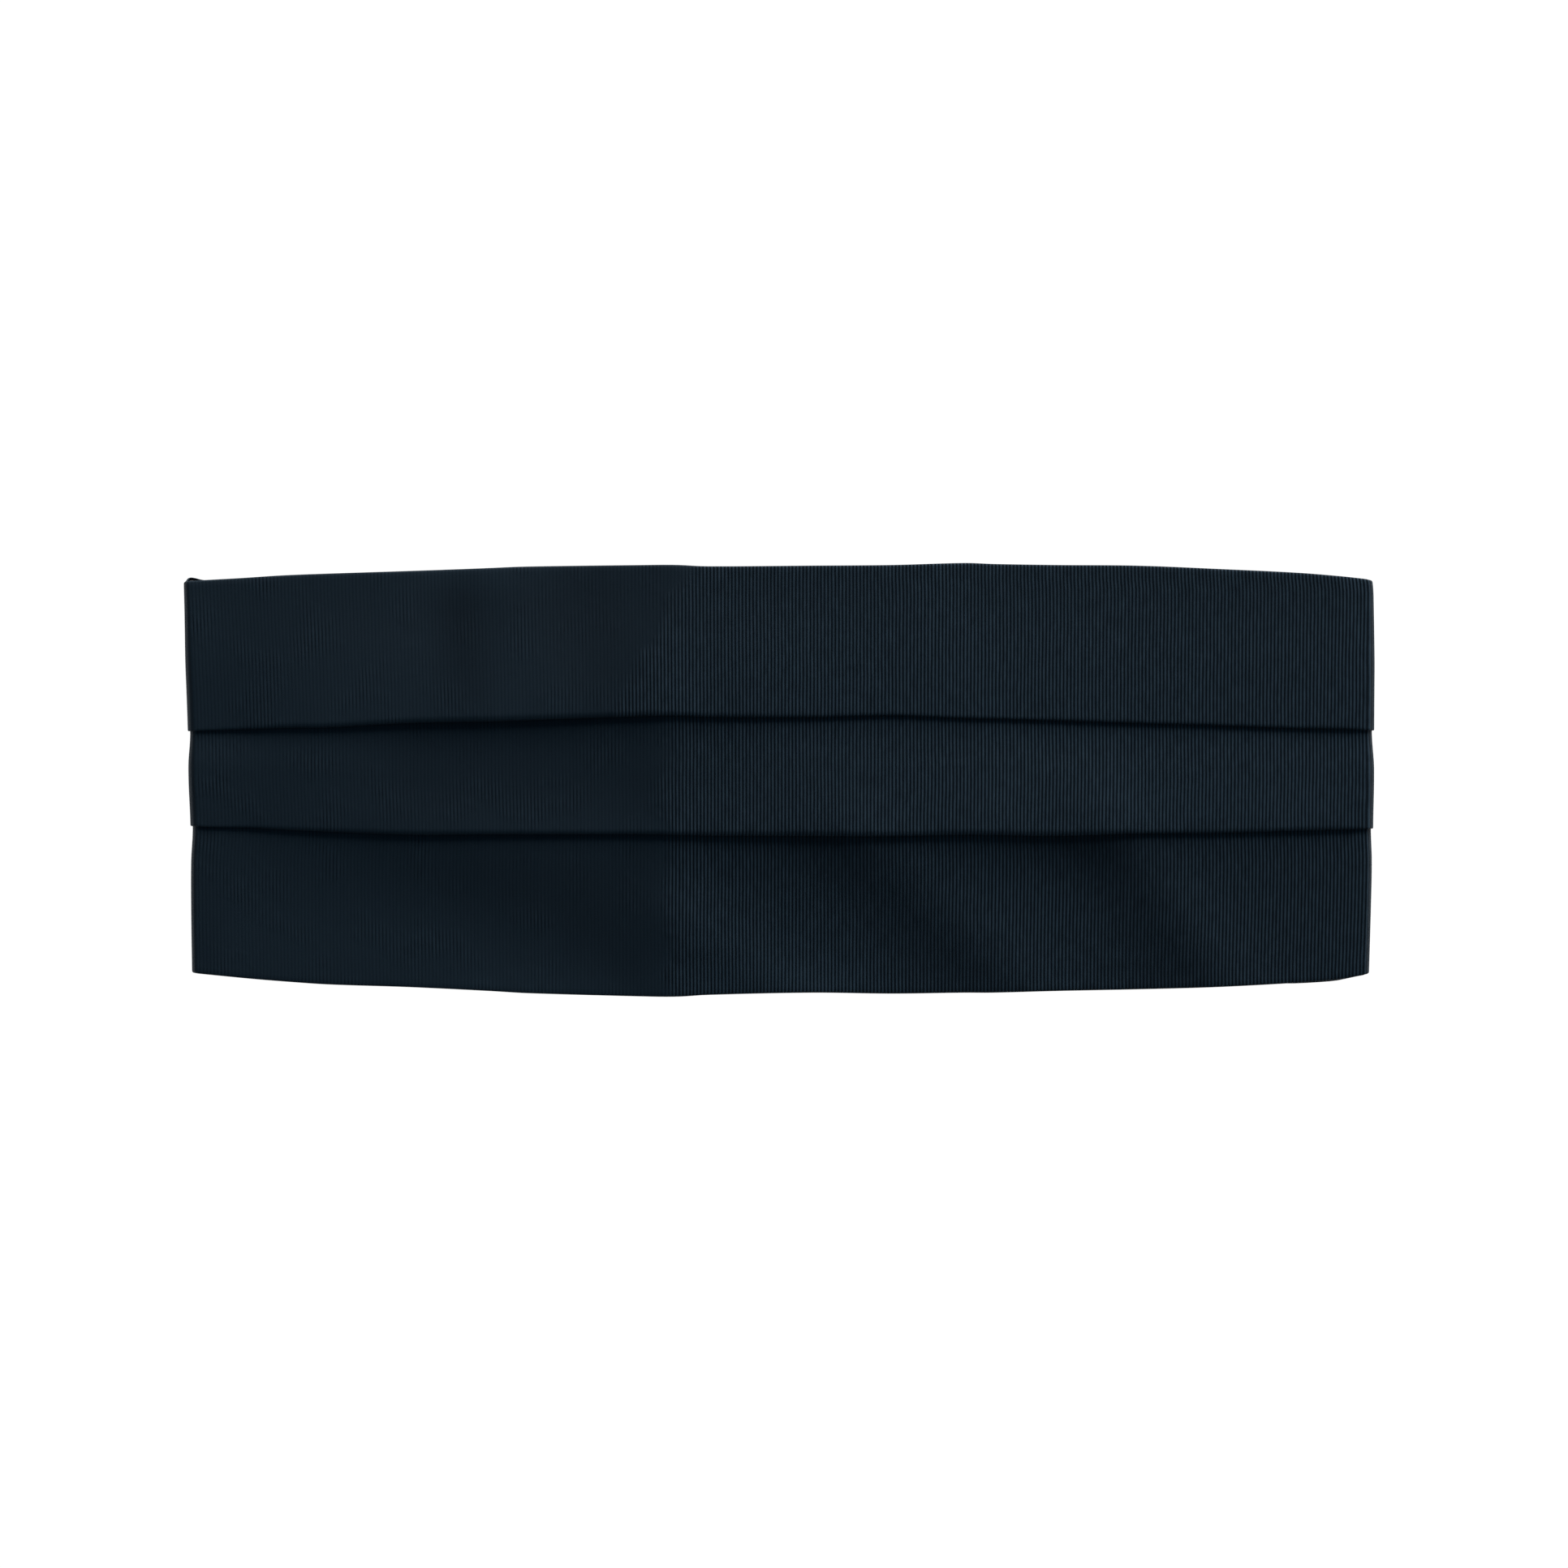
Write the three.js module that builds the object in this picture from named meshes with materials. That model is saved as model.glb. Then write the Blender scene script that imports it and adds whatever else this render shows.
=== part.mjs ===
import * as THREE from 'three';

// Cummerbund, fastened into a loop and lying flat with its front up.
// Millimetres. +X runs along the waist, +Y is up on the wearer and +Z is out of the front.
// The origin is on the ground, under the middle of the loop.

// Overall sizes of the flat loop, seen from the front
const halfLength = 183.2;
const halfHeight = 66.5;

// Cloth of the pleated front, and of the plain panel that backs it
const clothWall = 1.0;
const backingWall = 1.0;
const foldGap = 0.2;
const pieceGap = 0.3;
const hemRadius = 1.0;

// The soft folds at the two sides, where the front turns to the back
const sideRadius = 3.2;
const leftLean = 1.4;
const rightLean = 0.5;

// Two knife pleats, whose folded edges face down
const pleatUnderlap = 18;
const mouthUnderlap = 8;

// The wings behind the sides, each narrowing to a mouth that holds a strap
const wingLength = 88;
const mouthMargin = 3.5;
const strapOverlap = 20;
const jogMargin = 1;
const jogLength = 8;

// Straps, and the clasp that they loop round
const strapWidth = 40;
const strapWall = 1.2;
const strapDrop = 14;
const strapTail = 25;
const tailDrop = 7;
const claspWall = 2.0;
const claspMiddle = 10;
const claspBar = 3.5;
const claspSlot = 3.0;
const claspEnd = 3.0;
const claspCorner = 3.0;
const slotRoom = 0.5;
const slotCorner = 0.8;

// How finely the rounded walls are cut into facets
const frontSteps = 26;
const sideSteps = 6;
const wingSteps = 4;
const foldSteps = 3;
const hemSteps = 2;
const rampSteps = 3;
const backingSteps = 4;
const wrapSteps = 6;
const cornerSteps = 4;

// Levels of the stacked cloth, measured outward from the inner face of the back panel
const levelPitch = clothWall + foldGap;
const foldRadius = levelPitch / 2;
const clothLevel = (count) => backingWall + pieceGap + clothWall / 2 + count * levelPitch;
const outermost = clothLevel(2) + clothWall / 2;

// Places that follow from the sizes
const sideCentre = halfLength - sideRadius - outermost;
const backLevel = outermost;
const mouthX = sideCentre - wingLength;
const jogEnd = strapOverlap + jogMargin;
const slotEdge = claspMiddle / 2 + claspSlot;
const barEdge = slotEdge + claspBar;
const wrapRadius = claspWall / 2 + pieceGap + strapWall / 2;
const claspLevel = strapWall / 2 + wrapRadius;

// The front, left to right. Along is a share of the half length, heights are shares of the half height.
const frontRows = [
  { along: -1.0, top: 0.921, firstPleat: 0.226, secondPleat: -0.214, bottom: -0.893 },
  { along: -0.9, top: 0.936, firstPleat: 0.237, secondPleat: -0.218, bottom: -0.921 },
  { along: -0.76, top: 0.955, firstPleat: 0.252, secondPleat: -0.229, bottom: -0.947 },
  { along: -0.63, top: 0.966, firstPleat: 0.282, secondPleat: -0.244, bottom: -0.959 },
  { along: -0.49, top: 0.981, firstPleat: 0.293, secondPleat: -0.244, bottom: -0.977 },
  { along: -0.35, top: 0.991, firstPleat: 0.301, secondPleat: -0.244, bottom: -0.993 },
  { along: -0.22, top: 0.996, firstPleat: 0.308, secondPleat: -0.244, bottom: -1.004 },
  { along: -0.08, top: 0.992, firstPleat: 0.293, secondPleat: -0.248, bottom: -0.992 },
  { along: 0.06, top: 0.992, firstPleat: 0.293, secondPleat: -0.251, bottom: -0.985 },
  { along: 0.19, top: 0.996, firstPleat: 0.301, secondPleat: -0.251, bottom: -0.989 },
  { along: 0.31, top: 1.004, firstPleat: 0.29, secondPleat: -0.244, bottom: -0.985 },
  { along: 0.46, top: 0.996, firstPleat: 0.282, secondPleat: -0.252, bottom: -0.977 },
  { along: 0.6, top: 0.992, firstPleat: 0.267, secondPleat: -0.244, bottom: -0.97 },
  { along: 0.74, top: 0.977, firstPleat: 0.256, secondPleat: -0.244, bottom: -0.959 },
  { along: 0.87, top: 0.959, firstPleat: 0.244, secondPleat: -0.233, bottom: -0.94 },
  { along: 0.94, top: 0.944, firstPleat: 0.237, secondPleat: -0.229, bottom: -0.925 },
  { along: 1.0, top: 0.925, firstPleat: 0.229, secondPleat: -0.226, bottom: -0.893 },
];

// The mouth of a wing, in shares of half its own height
const mouthRow = { top: 1, firstPleat: 0.34, secondPleat: -0.3, bottom: -1 };

// Slow swells of the front. Along and spread are shares of the half length, rise of the side radius.
const swellRows = [
  { along: -0.55, rise: 0.25, spread: 0.2 },
  { along: 0.04, rise: 0.16, spread: 0.13 },
  { along: 0.34, rise: 0.34, spread: 0.13 },
];

const edgeNames = ['top', 'firstPleat', 'secondPleat', 'bottom'];

// One smooth curve for each edge, through the rows of the front
const frontCurves = new THREE.CubicInterpolant(
  frontRows.map((row) => row.along),
  frontRows.flatMap((row) => edgeNames.map((name) => row[name])),
  edgeNames.length,
);

function frontEdges(along) {
  const shares = frontCurves.evaluate(THREE.MathUtils.clamp(along, -1, 1));
  const edges = { underlap: pleatUnderlap };
  edgeNames.forEach((name, i) => {
    edges[name] = shares[i] * halfHeight;
  });
  return edges;
}

function wingEdges(side, share) {
  const narrowing = THREE.MathUtils.smoothstep(share, 0, 1);
  const atSide = frontEdges(side);
  const mouthHalf = strapWidth / 2 + mouthMargin;
  const edges = { underlap: THREE.MathUtils.lerp(pleatUnderlap, mouthUnderlap, narrowing) };
  for (const name of edgeNames) {
    edges[name] = THREE.MathUtils.lerp(atSide[name], mouthRow[name] * mouthHalf, narrowing);
  }
  return edges;
}

function swell(along) {
  const shares = swellRows.map((row) => row.rise * Math.exp(-(((along - row.along) / row.spread) ** 2)));
  return sideRadius * shares.reduce((sum, share) => sum + share, 0);
}

// A station is one cross-section of the loop: where it stands, which way is out, and its four edges.
// The jog is how far the back panel moves inward there, to make room for a strap.
function frontStation(x) {
  const along = x / halfLength;
  const z = backLevel + 2 * sideRadius + swell(along);
  return { x, z, outX: 0, outZ: 1, jog: 0, edges: frontEdges(along) };
}

function sideStation(side, angle) {
  const reach = THREE.MathUtils.lerp(sideCentre, halfLength, Math.sin(Math.min(angle, Math.PI / 2)));
  return {
    x: side * (sideCentre + sideRadius * Math.sin(angle)),
    z: backLevel + sideRadius * (1 + Math.cos(angle)),
    outX: side * Math.sin(angle),
    outZ: Math.cos(angle),
    jog: 0,
    edges: frontEdges((side * reach) / halfLength),
  };
}

function wingStation(side, fromMouth) {
  const jogShare = 1 - THREE.MathUtils.clamp((fromMouth - jogEnd) / jogLength, 0, 1);
  return {
    x: side * (mouthX + fromMouth),
    z: backLevel,
    outX: 0,
    outZ: -1,
    jog: (strapWall + pieceGap) * jogShare,
    edges: wingEdges(side, 1 - fromMouth / wingLength),
  };
}

// From a side of the front to the mouth of the wing behind it
function sideAndWing(side) {
  const stations = [];
  for (let i = 1; i < sideSteps; i += 1) {
    stations.push(sideStation(side, (Math.PI * i) / sideSteps));
  }
  for (let i = 0; i <= wingSteps; i += 1) {
    stations.push(wingStation(side, THREE.MathUtils.lerp(wingLength, jogEnd + jogLength, i / wingSteps)));
  }
  stations.push(wingStation(side, jogEnd), wingStation(side, jogEnd / 2), wingStation(side, 0));
  return stations;
}

// From the mouth of the left wing, over the front, to the mouth of the right wing
function loopStations() {
  const front = [];
  for (let i = 0; i <= frontSteps; i += 1) {
    front.push(frontStation(THREE.MathUtils.lerp(-sideCentre, sideCentre, i / frontSteps)));
  }
  return [...sideAndWing(-1).reverse(), ...front, ...sideAndWing(1)];
}

// The sides lean: each sticks out further at the top edge than at the bottom edge
function place(station, up, out) {
  const x = station.x + station.outX * out;
  const lean = (x < 0 ? -leftLean : rightLean) * (x / halfLength) ** 2;
  return new THREE.Vector3(x + (lean * up) / halfHeight, up, station.z + station.outZ * out);
}

// The middle line of a wall is drawn in its own plane, as points (a, b) with the direction it runs there
function arcLine(centreA, centreB, radius, fromAngle, toAngle, steps) {
  const quarterTurn = (Math.sign(toAngle - fromAngle) * Math.PI) / 2;
  return Array.from({ length: steps + 1 }, (_, i) => {
    const angle = THREE.MathUtils.lerp(fromAngle, toAngle, i / steps);
    const a = centreA + radius * Math.cos(angle);
    const b = centreB + radius * Math.sin(angle);
    return { a, b, heading: angle + quarterTurn };
  });
}

// A soft step from one level to another, level at both ends
function rampLine(fromA, fromB, toA, toB, steps) {
  return Array.from({ length: steps + 1 }, (_, i) => {
    const share = i / steps;
    const a = THREE.MathUtils.lerp(fromA, toA, share);
    const b = THREE.MathUtils.lerp(fromB, toB, THREE.MathUtils.smoothstep(share, 0, 1));
    const rise = 6 * share * (1 - share) * (toB - fromB);
    return { a, b, heading: Math.atan2(rise, toA - fromA) };
  });
}

// A wall of even thickness about its middle line, as one closed outline
function wallOutline(line, thickness) {
  const faceLine = (offset) =>
    line.map(
      ({ a, b, heading }) =>
        new THREE.Vector2(a + offset * Math.sin(heading), b - offset * Math.cos(heading)),
    );
  return [...faceLine(thickness / 2), ...faceLine(-thickness / 2).reverse()];
}

// One pleat's two folds: down round its edge, up behind itself, and over to go down again
function pleatLine(edge, underlap) {
  const inset = foldRadius + clothWall / 2;
  const quarter = Math.PI / 2;
  return [
    ...arcLine(edge + inset, clothLevel(1.5), foldRadius, quarter, 3 * quarter, foldSteps),
    ...arcLine(edge + underlap - inset, clothLevel(0.5), foldRadius, quarter, -quarter, foldSteps),
  ];
}

// The pleated cloth in section, from its top hem to its bottom hem: a is up, b is out
function pleatedSection({ top, firstPleat, secondPleat, bottom, underlap }) {
  const inset = hemRadius + clothWall / 2;
  const hemLevel = clothLevel(0) - hemRadius;
  const quarter = Math.PI / 2;
  const line = [
    { a: top - clothWall / 2, b: 0, heading: quarter },
    ...arcLine(top - inset, hemLevel, hemRadius, 0, quarter, hemSteps),
    ...rampLine(top - 2 * inset, clothLevel(0), firstPleat + underlap, clothLevel(2), rampSteps),
    ...pleatLine(firstPleat, underlap),
    ...rampLine(firstPleat, clothLevel(0), secondPleat + underlap, clothLevel(2), rampSteps),
    ...pleatLine(secondPleat, underlap),
    ...arcLine(bottom + inset, hemLevel, hemRadius, quarter, 2 * quarter, hemSteps),
    { a: bottom + clothWall / 2, b: 0, heading: 3 * quarter },
  ];
  return wallOutline(line, clothWall);
}

// The back panel in section, lying between the two hems
function backingSection({ top, bottom }) {
  const edge = clothWall + pieceGap;
  const line = Array.from({ length: backingSteps + 1 }, (_, i) => ({
    a: THREE.MathUtils.lerp(top - edge, bottom + edge, i / backingSteps),
    b: backingWall / 2,
    heading: Math.PI,
  }));
  return wallOutline(line, backingWall);
}

// A closed body through rings of points, one ring for each station
function loft(rings, sections) {
  const count = rings[0].length;
  const positions = rings.flat().flatMap((point) => [point.x, point.y, point.z]);
  const indices = [];
  for (let i = 0; i + 1 < rings.length; i += 1) {
    for (let j = 0; j < count; j += 1) {
      const next = (j + 1) % count;
      const here = i * count;
      const there = here + count;
      indices.push(here + j, here + next, there + next, here + j, there + next, there + j);
    }
  }
  const last = (rings.length - 1) * count;
  for (const [a, b, c] of THREE.ShapeUtils.triangulateShape(sections[0], [])) {
    indices.push(a, c, b);
  }
  for (const [a, b, c] of THREE.ShapeUtils.triangulateShape(sections.at(-1), [])) {
    indices.push(last + a, last + b, last + c);
  }
  const geometry = new THREE.BufferGeometry();
  geometry.setAttribute('position', new THREE.Float32BufferAttribute(positions, 3));
  geometry.setIndex(indices);
  geometry.computeVertexNormals();
  return geometry;
}

const stations = loopStations();

function pleatedFrontGeometry() {
  const sections = stations.map((station) => pleatedSection(station.edges));
  const rings = stations.map((station, i) => sections[i].map((p) => place(station, p.x, p.y)));
  return loft(rings, sections);
}

function backPanelGeometry() {
  const sections = stations.map((station) => backingSection(station.edges));
  const rings = stations.map((station, i) => sections[i].map((p) => place(station, p.x, p.y - station.jog)));
  return loft(rings, sections);
}

// A strap from the side: out of the wing's mouth, down to the ground, round the clasp's bar and back
function strapLine() {
  const quarter = Math.PI / 2;
  const sewnLevel = backLevel - backingWall + strapWall / 2;
  const dropStart = mouthX - pieceGap;
  const tailStart = barEdge + pieceGap;
  const tailLevel = 1.5 * strapWall + pieceGap;
  return [
    { a: mouthX + strapOverlap, b: sewnLevel, heading: Math.PI },
    ...rampLine(dropStart, sewnLevel, dropStart - strapDrop, strapWall / 2, wrapSteps),
    ...arcLine(slotEdge, claspLevel, wrapRadius, 3 * quarter, quarter, wrapSteps),
    ...rampLine(tailStart, claspLevel + wrapRadius, tailStart + tailDrop, tailLevel, wrapSteps),
    { a: slotEdge + strapTail, b: tailLevel, heading: 0 },
  ];
}

function strapGeometry(side) {
  const outline = wallOutline(strapLine(), strapWall).map((p) => new THREE.Vector2(side * p.x, p.y));
  const geometry = new THREE.ExtrudeGeometry(new THREE.Shape(outline), {
    depth: strapWidth,
    bevelEnabled: false,
  });
  geometry.rotateX(Math.PI / 2);
  geometry.translate(0, strapWidth / 2, 0);
  return geometry;
}

function roundedRectangle(path, centreX, halfX, halfY, corner) {
  const left = centreX - halfX + corner;
  const right = centreX + halfX - corner;
  const inner = halfY - corner;
  const quarter = Math.PI / 2;
  path.absarc(right, inner, corner, 0, quarter);
  path.absarc(left, inner, corner, quarter, 2 * quarter);
  path.absarc(left, -inner, corner, 2 * quarter, 3 * quarter);
  path.absarc(right, -inner, corner, 3 * quarter, 4 * quarter);
  path.closePath();
  return path;
}

function claspGeometry() {
  const halfSlotLength = strapWidth / 2 + slotRoom;
  const plate = roundedRectangle(new THREE.Shape(), 0, barEdge, halfSlotLength + claspEnd, claspCorner);
  for (const side of [-1, 1]) {
    const slotCentre = side * (slotEdge - claspSlot / 2);
    const slot = roundedRectangle(new THREE.Path(), slotCentre, claspSlot / 2, halfSlotLength, slotCorner);
    plate.holes.push(slot);
  }
  const geometry = new THREE.ExtrudeGeometry(plate, {
    depth: claspWall,
    bevelEnabled: false,
    curveSegments: cornerSteps,
  });
  geometry.translate(0, 0, claspLevel - claspWall / 2);
  return geometry;
}

const faille = new THREE.MeshStandardMaterial({ color: '#161f26', roughness: 0.6, metalness: 0 });
const lining = new THREE.MeshStandardMaterial({ color: '#14191e', roughness: 0.5, metalness: 0 });
const webbing = new THREE.MeshStandardMaterial({ color: '#12171b', roughness: 0.8, metalness: 0 });
const lacquer = new THREE.MeshStandardMaterial({ color: '#1a1c1f', roughness: 0.35, metalness: 0.8 });

function addPiece(group, name, geometry, material) {
  const mesh = new THREE.Mesh(geometry, material);
  mesh.name = name;
  group.add(mesh);
}

const group = new THREE.Group();
addPiece(group, 'pleated_front', pleatedFrontGeometry(), faille);
addPiece(group, 'back_panel', backPanelGeometry(), lining);
addPiece(group, 'strap_left', strapGeometry(-1), webbing);
addPiece(group, 'strap_right', strapGeometry(1), webbing);
addPiece(group, 'clasp', claspGeometry(), lacquer);

export default group;
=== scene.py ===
# %% [markdown]
# # A pleated cummerbund, built the way it is sewn
#
# A cummerbund is a wide sash of ribbed cloth. Its front is one cloth with knife pleats, a lining closes it
# behind, and a strap with a slide joins its two tapered ends in the back. Here it lies flat, front up.
# The frame that is loaded first holds the real sizes and is never changed. Every soft piece below is a
# finer version of a solid in that frame, and takes its place.

# %% Load the frame
import math

import bmesh
import bpy
from mathutils import Matrix, Vector, noise


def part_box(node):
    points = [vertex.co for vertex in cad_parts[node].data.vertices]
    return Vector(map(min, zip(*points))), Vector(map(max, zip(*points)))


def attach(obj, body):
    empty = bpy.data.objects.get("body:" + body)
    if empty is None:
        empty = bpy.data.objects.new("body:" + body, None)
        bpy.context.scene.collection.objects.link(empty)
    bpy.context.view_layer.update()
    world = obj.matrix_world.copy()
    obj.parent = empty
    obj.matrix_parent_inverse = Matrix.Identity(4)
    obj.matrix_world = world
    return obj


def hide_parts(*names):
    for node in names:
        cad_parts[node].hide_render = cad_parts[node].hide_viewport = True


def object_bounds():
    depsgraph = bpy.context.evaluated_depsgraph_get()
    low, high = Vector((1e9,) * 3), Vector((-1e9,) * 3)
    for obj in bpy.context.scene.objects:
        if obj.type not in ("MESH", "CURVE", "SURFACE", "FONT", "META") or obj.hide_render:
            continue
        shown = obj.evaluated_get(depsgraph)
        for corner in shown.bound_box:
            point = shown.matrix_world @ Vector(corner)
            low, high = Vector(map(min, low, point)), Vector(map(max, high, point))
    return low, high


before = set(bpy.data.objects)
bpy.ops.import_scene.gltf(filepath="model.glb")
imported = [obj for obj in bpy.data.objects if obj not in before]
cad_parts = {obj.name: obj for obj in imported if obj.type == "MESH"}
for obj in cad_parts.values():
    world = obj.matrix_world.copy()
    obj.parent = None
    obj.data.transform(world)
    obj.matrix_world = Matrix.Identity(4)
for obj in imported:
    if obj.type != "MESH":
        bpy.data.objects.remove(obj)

MM = 0.001
cad_low, cad_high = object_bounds()
print("frame size in mm:", [round(side / MM, 1) for side in cad_high - cad_low])

# %% [markdown]
# ## The camera first
#
# The cummerbund is seen from straight above, with hardly any perspective. A flat, orthographic camera could
# show that too, but a long lens far away keeps the slight depth that a real photo has, so it is used here.
# One pixel of the 1932 pixel frame is a quarter of a millimetre, and the camera stands a little off the
# cummerbund's middle, because the cummerbund sits a little up and left in its frame.

# %% Camera
FRAME_PIXELS = 1932
PIXEL = 0.25 * MM

# Lens and sensor in millimetres, and how far the camera stands off the middle
LENS = 300
SENSOR = 36
OFF_CENTRE = (6.5 * PIXEL, -5 * PIXEL)


def add_camera():
    camera = bpy.data.objects.new("camera", bpy.data.cameras.new("camera"))
    camera.data.lens = LENS
    camera.data.sensor_width = SENSOR
    distance = FRAME_PIXELS * PIXEL * LENS / SENSOR
    camera.location = (*OFF_CENTRE, cad_high.z / 2 + distance)
    bpy.context.collection.objects.link(camera)
    bpy.context.scene.camera = camera
    return distance


print("camera distance in mm:", round(add_camera() / MM))

# %% [markdown]
# ## Tables that read like a tailor's notes
#
# The edges of the front aren't straight lines: the cloth bows, dips and lifts by a few millimetres. Curve
# objects could hold those lines, but short tables are easier to read and to correct. A smooth curve through
# a table's rows gives every place between them. The slope at a row is the mean of the slopes beside it,
# which keeps the curve from swinging past its rows.

# %% Smooth tables
def smooth_between(rows, x):
    """The values at x on a smooth curve through rows, whose first column rises."""
    x = min(max(x, rows[0][0]), rows[-1][0])
    i = next(k for k in range(1, len(rows)) if x <= rows[k][0])
    left, right = rows[i - 1], rows[i]
    before, after = rows[max(i - 2, 0)], rows[min(i + 1, len(rows) - 1)]
    span = right[0] - left[0]
    t = (x - left[0]) / span
    values = []
    for column in range(1, len(left)):
        rise = right[column] - left[column]
        left_slope = (right[column] - before[column]) / (right[0] - before[0]) * span
        right_slope = (after[column] - left[column]) / (after[0] - left[0]) * span
        curve = t * (1 - t) * ((1 - t) * (left_slope - rise) + t * (rise - right_slope))
        values.append(left[column] + rise * t + curve)
    return values


def smooth_step(t):
    t = min(max(t, 0.0), 1.0)
    return t * t * (3 - 2 * t)


def mix(a, b, t):
    return a + (b - a) * t


print("a smooth step, in quarters:", [round(smooth_step(i / 4), 2) for i in range(5)])

# %% Edges of the front, in millimetres
# Columns: place along the waist, top edge, first pleat's edge, second pleat's edge, bottom edge
EDGE_ROWS = [
    (-183.4, 61.2, 15.0, -14.2, -59.4),
    (-177.4, 61.5, 15.2, -14.5, -60.0),
    (-164.9, 62.2, 15.6, -14.7, -61.2),
    (-152.4, 63.0, 16.1, -15.4, -62.2),
    (-139.9, 63.5, 16.2, -15.9, -63.0),
    (-114.9, 64.3, 17.5, -16.8, -63.8),
    (-89.9, 65.2, 18.0, -16.7, -65.0),
    (-77.4, 65.7, 18.4, -16.7, -65.7),
    (-39.9, 66.2, 19.7, -16.7, -66.7),
    (-31.0, 66.2, 19.8, -16.9, -66.7),
    (-22.4, 65.8, 19.4, -17.1, -66.2),
    (10.1, 66.0, 19.3, -17.2, -65.5),
    (35.1, 66.2, 19.8, -17.3, -65.8),
    (57.6, 66.8, 19.0, -16.8, -65.5),
    (66.0, 66.5, 18.8, -16.9, -65.5),
    (85.1, 66.2, 18.3, -17.2, -65.0),
    (110.1, 66.0, 17.5, -16.5, -64.5),
    (135.1, 65.0, 16.8, -16.3, -63.8),
    (160.1, 63.8, 15.9, -15.6, -62.5),
    (172.6, 62.8, 15.7, -15.3, -61.5),
    (180.1, 62.0, 15.4, -15.1, -60.3),
    (183.4, 61.5, 15.2, -15.0, -59.6),
]

# Columns: place along the waist, how far the first and the second pleat's edge lift off the cloth below,
# and how far the whole stack of layers puffs up along each of them
LIFT_ROWS = [
    (-183.4, 0.05, 0.05, 0.0, 0.0),
    (-175.0, 0.15, 0.1, 0.0, 0.0),
    (-162.0, 0.5, 0.35, 0.4, 0.2),
    (-140.0, 0.8, 0.6, 1.0, 0.7),
    (-103.0, 1.1, 0.8, 1.4, 0.9),
    (-80.0, 1.1, 0.7, 1.5, 1.0),
    (-40.0, 0.9, 0.7, 1.4, 1.0),
    (-14.0, 0.7, 1.0, 0.7, 1.1),
    (10.0, 0.45, 1.1, 0.3, 1.3),
    (40.0, 0.3, 1.0, 0.15, 1.3),
    (98.0, 0.35, 1.0, 0.15, 1.2),
    (115.0, 0.35, 0.6, 0.1, 0.4),
    (160.0, 0.35, 0.6, 0.1, 0.3),
    (175.0, 0.4, 0.5, 0.3, 0.2),
    (181.0, 0.1, 0.1, 0.0, 0.0),
    (183.4, 0.05, 0.05, 0.0, 0.0),
]

# Columns: height, how far the left and right side reach from the middle, at the lowest layer of cloth
SIDE_ROWS = [
    (-60.0, 180.8, 181.9),
    (-40.0, 181.1, 182.5),
    (-25.0, 181.1, 182.8),
    (-15.0, 180.6, 182.5),
    (0.0, 181.2, 182.8),
    (15.0, 181.4, 182.8),
    (38.0, 182.3, 183.0),
    (58.0, 183.3, 183.3),
    (62.0, 183.4, 182.9),
]

middle_edges = smooth_between(EDGE_ROWS, 0)
print("edges at the middle, in mm:", [round(edge, 1) for edge in middle_edges])

# %% [markdown]
# ## Where the loop runs
#
# The cloth goes along the front, turns round each side in a pressed fold and comes back as a wing behind.
# Its layers could be modelled one by one, but they lie so close that they would soon cut each other. So one
# function turns a place on the loop (how far along the waist, how high, how far out from the lining) into a
# point in space. Every layer uses it, at its own distance out.

# %% Sizes of the loop, in millimetres
# The cloth's thickness, the distance between its layers, and from the lining out to the lowest layer
WALL = 0.3
LAYER = 0.34
BASE = 0.9

# The side folds' reach from the middle, the lining's height behind, and the room that the layers, swells
# and folds have above it in front, which gives its height there
SIDE_REACH = 183.2
BACK_Z = 2.5
ROOM_ABOVE = 6.5
FRONT_Z = cad_high.z / MM - ROOM_ABOVE

# A side fold's half height, its small corner's radius, and how far the corner turns before the wide bulge
SIDE_RADIUS = (FRONT_Z - BACK_Z) / 2
SIDE_X = SIDE_REACH - SIDE_RADIUS - BASE - WALL / 2
CORNER = 0.4
TURNED = math.radians(66)
BULGE = CORNER + (SIDE_RADIUS - CORNER) / math.cos(TURNED)
FLAT = SIDE_RADIUS - BULGE + (BULGE - CORNER) * math.sin(TURNED)
CORNER_ARC = TURNED * (CORNER + BASE)
BULGE_ARC = (math.pi / 2 - TURNED) * (BULGE + BASE)
SIDE_ARC = 2 * (FLAT + CORNER_ARC + BULGE_ARC)

# The wings, from the side folds to where the straps are sewn in
STRAP_OVERLAP = 20
strap_low, strap_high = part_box("strap_right")
MOUTH_X = strap_high.x / MM - STRAP_OVERLAP
WING = SIDE_X - MOUTH_X
LOOP_HALF = SIDE_X + SIDE_ARC + WING
print("side fold:", round(SIDE_ARC, 1), "wing:", round(WING, 1), "half loop:", round(LOOP_HALF, 1))

# %% [markdown]
# ## Soft relief of the front
#
# Cloth that lies on a table still swells where it holds air, and keeps soft folds from being handled. A
# cloth simulation would make folds too, but in places of its own. Here each fold is one row of a table, a
# soft ridge along a line, so every fold lies where the photo shows it. The ridges add up with the puff of
# the pleats.

# %% Relief of the front
# Broad swells: place along the waist, spread, rise
SWELL_ROWS = [(-101, 40, 0.6), (7, 26, 0.2), (62, 26, 0.35)]

# Soft folds: from and to (along, up), half width, rise
FOLD_ROWS = [
    ((-34, 66), (-36, -68), 9, 0.8),
    ((28, -20), (74, -60), 10, 0.9),
    ((108, -20), (138, -60), 10, 0.9),
    ((-30, -44), (10, -70), 9, 0.7),
    ((57, 68), (64, -12), 8, 0.3),
    ((-86, 66), (-74, 36), 9, 0.4),
    ((-112, -16), (-44, -46), 18, 0.6),
]

# How far below an edge the puff of the layers ends, and how far from a side the relief starts to fade
PUFF_BELOW = 24
SIDE_FADE = 25

# A fine unevenness of the whole front: its height and its size
RIPPLE = 0.12
RIPPLE_SIZE = 24


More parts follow.
